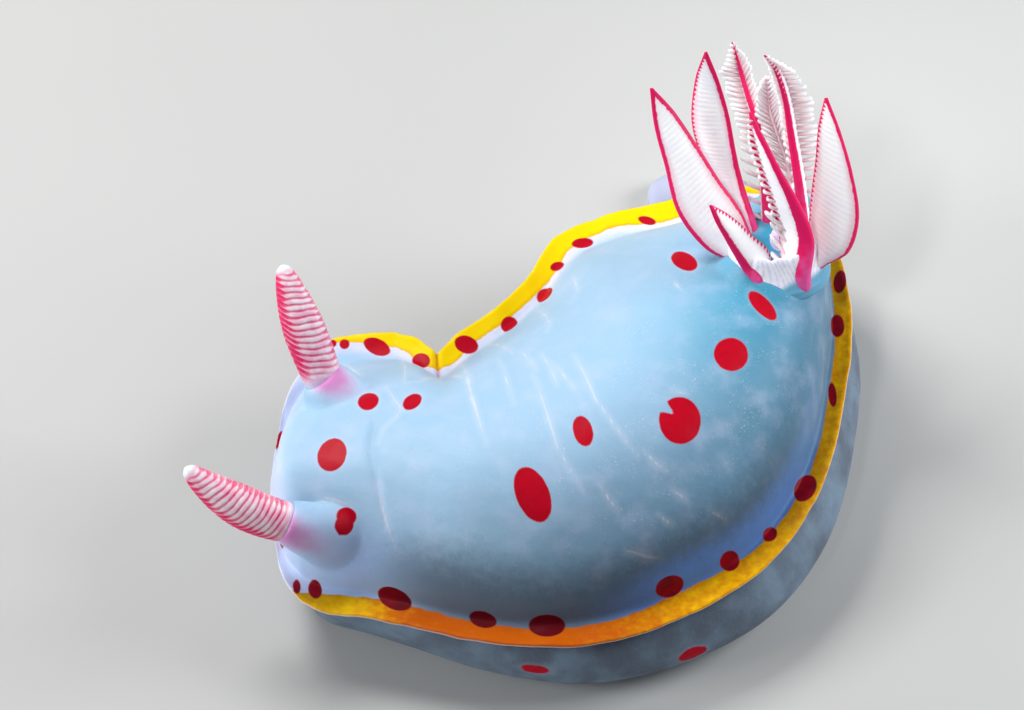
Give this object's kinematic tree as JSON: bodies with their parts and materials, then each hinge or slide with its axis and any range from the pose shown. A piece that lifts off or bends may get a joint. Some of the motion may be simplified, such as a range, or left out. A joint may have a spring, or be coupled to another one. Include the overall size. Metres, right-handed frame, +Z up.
{
  "type": "bennetts hypselodoris sea slug",
  "caption": "Still life-size museum model of a spotted blue dorid sea slug at rest, curled to its right, with raised rhinophores and a spread gill plume.",
  "frame": {"origin": "on the floor under the middle of the body, at the flat of the foot's sole", "axes": "+Z up from the floor, -X ahead of the head, -Y to the animal's left side, where the picture's camera stands"},
  "size_m": [0.0333, 0.0331, 0.0204],
  "materials": {
    "mantle": "wet skin, pale blue with crimson spots and a yellow margin",
    "foot": "wet skin, grey blue",
    "head": "wet skin, lilac",
    "rhinophore_stalk": "translucent lilac skin with a magenta core",
    "rhinophore_club": "pink leaves edged with crimson, white tip",
    "gill": "white leaflets on crimson edged stems"
  },
  "bodies": {
    "root": {"mantle_front": "mantle", "mantle_middle": "mantle", "mantle_rear": "mantle", "head": "head", "foot_front": "foot", "foot_middle": "foot", "foot_rear": "foot", "tail": "foot", "rhinophore_stalk_left": "rhinophore_stalk", "rhinophore_stalk_right": "rhinophore_stalk", "rhinophore_club_left": "rhinophore_club", "rhinophore_club_right": "rhinophore_club", "vent_papilla": "rhinophore_stalk", "gill_1": "gill", "gill_2": "gill", "gill_3": "gill", "gill_4": "gill", "gill_5": "gill", "gill_6": "gill", "gill_7": "gill", "gill_8": "gill"}
  },
  "joints": []
}
